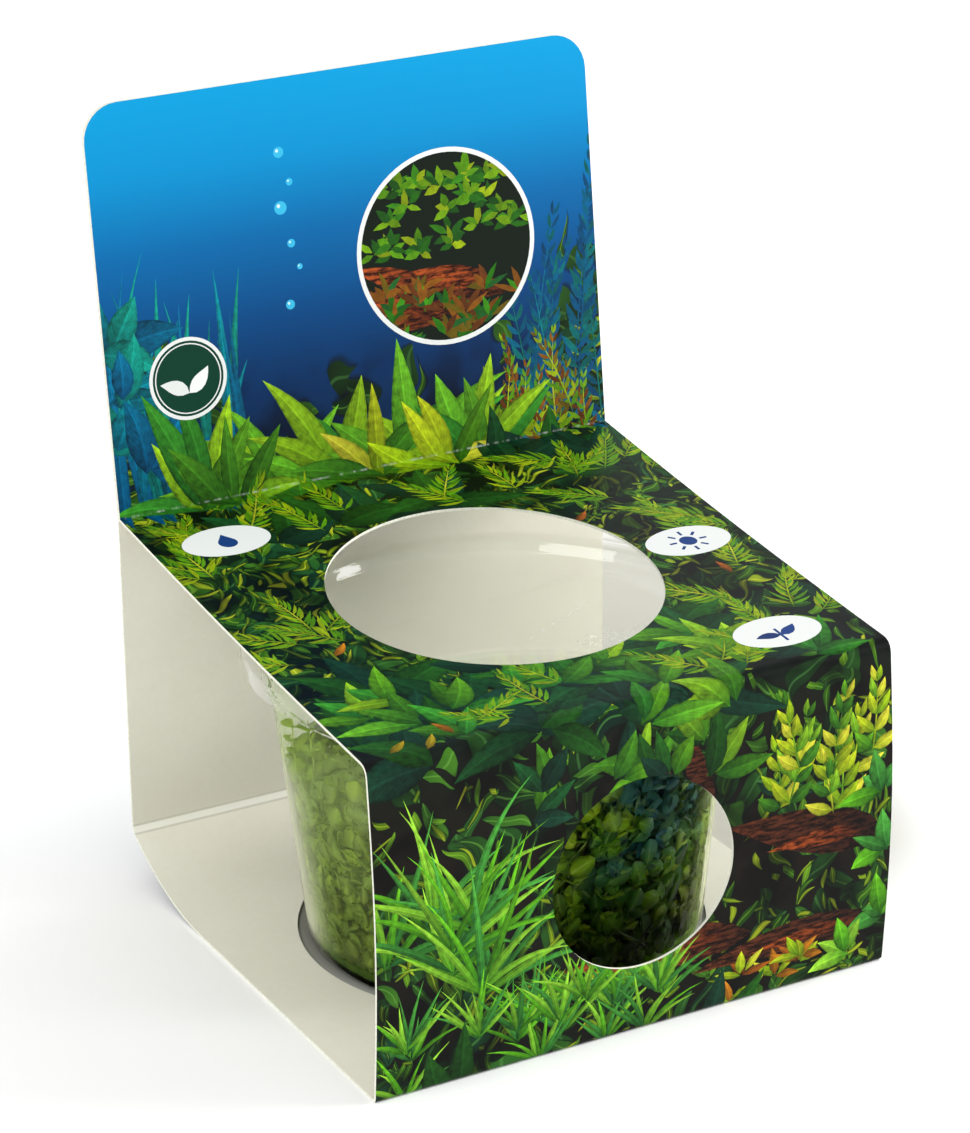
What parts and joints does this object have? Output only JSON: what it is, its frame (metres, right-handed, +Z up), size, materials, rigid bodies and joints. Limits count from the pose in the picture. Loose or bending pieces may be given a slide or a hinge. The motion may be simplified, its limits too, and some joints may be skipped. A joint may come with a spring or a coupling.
{
  "type": "monte carlo carpet plant",
  "caption": "Monte Carlo carpet plants growing on gel in a clear lidded cup, held in a folded card sleeve with an upright header and round cut-outs.",
  "frame": {"origin": "on the table, in the middle of the whole object's bounding box", "axes": "+Z up from the table, +X across the sleeve to the right, +Y from the window side to the header"},
  "size_m": [0.09, 0.0956, 0.131],
  "materials": {
    "printed_card": "glossy printed card, off-white inside and on its cut edges",
    "clear_plastic": "clear thin plastic, smooth",
    "gel": "dark green clear gel, wet",
    "leaf": "fresh leaves, satin"
  },
  "bodies": {
    "root": {"card_sleeve": "printed_card", "cup": "clear_plastic", "lid": "clear_plastic", "growing_gel": "gel", "plant_clump": "leaf"}
  },
  "joints": []
}
